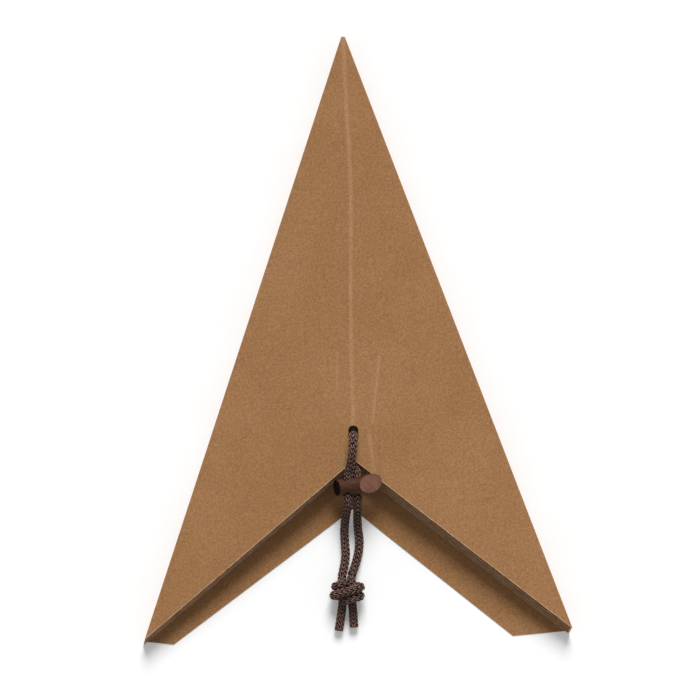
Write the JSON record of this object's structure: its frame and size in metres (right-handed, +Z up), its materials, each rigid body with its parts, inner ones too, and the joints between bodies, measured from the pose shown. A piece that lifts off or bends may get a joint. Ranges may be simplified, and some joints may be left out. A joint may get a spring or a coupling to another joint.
{
  "type": "folded paper star",
  "caption": "Kraft paper star, folded flat into a stack of dart-shaped pockets, with a braided cord through a hole and a wooden toggle.",
  "frame": {"origin": "on the underside, straight below the notch corner of the top point", "axes": "+Y from the notch towards the tips, +X to the right seen from above, +Z up through the stack"},
  "size_m": [0.2144, 0.3009, 0.0246],
  "materials": {
    "paper": "matte kraft board",
    "cord": "braided cotton",
    "wood": "satin stained"
  },
  "bodies": {
    "root": {"star_point_1": "paper", "star_point_2": "paper", "star_point_3": "paper", "star_point_4": "paper", "star_point_5": "paper", "star_point_6": "paper", "star_point_7": "paper", "cord": "cord", "cord_knot": "cord", "toggle": "wood"}
  },
  "joints": []
}
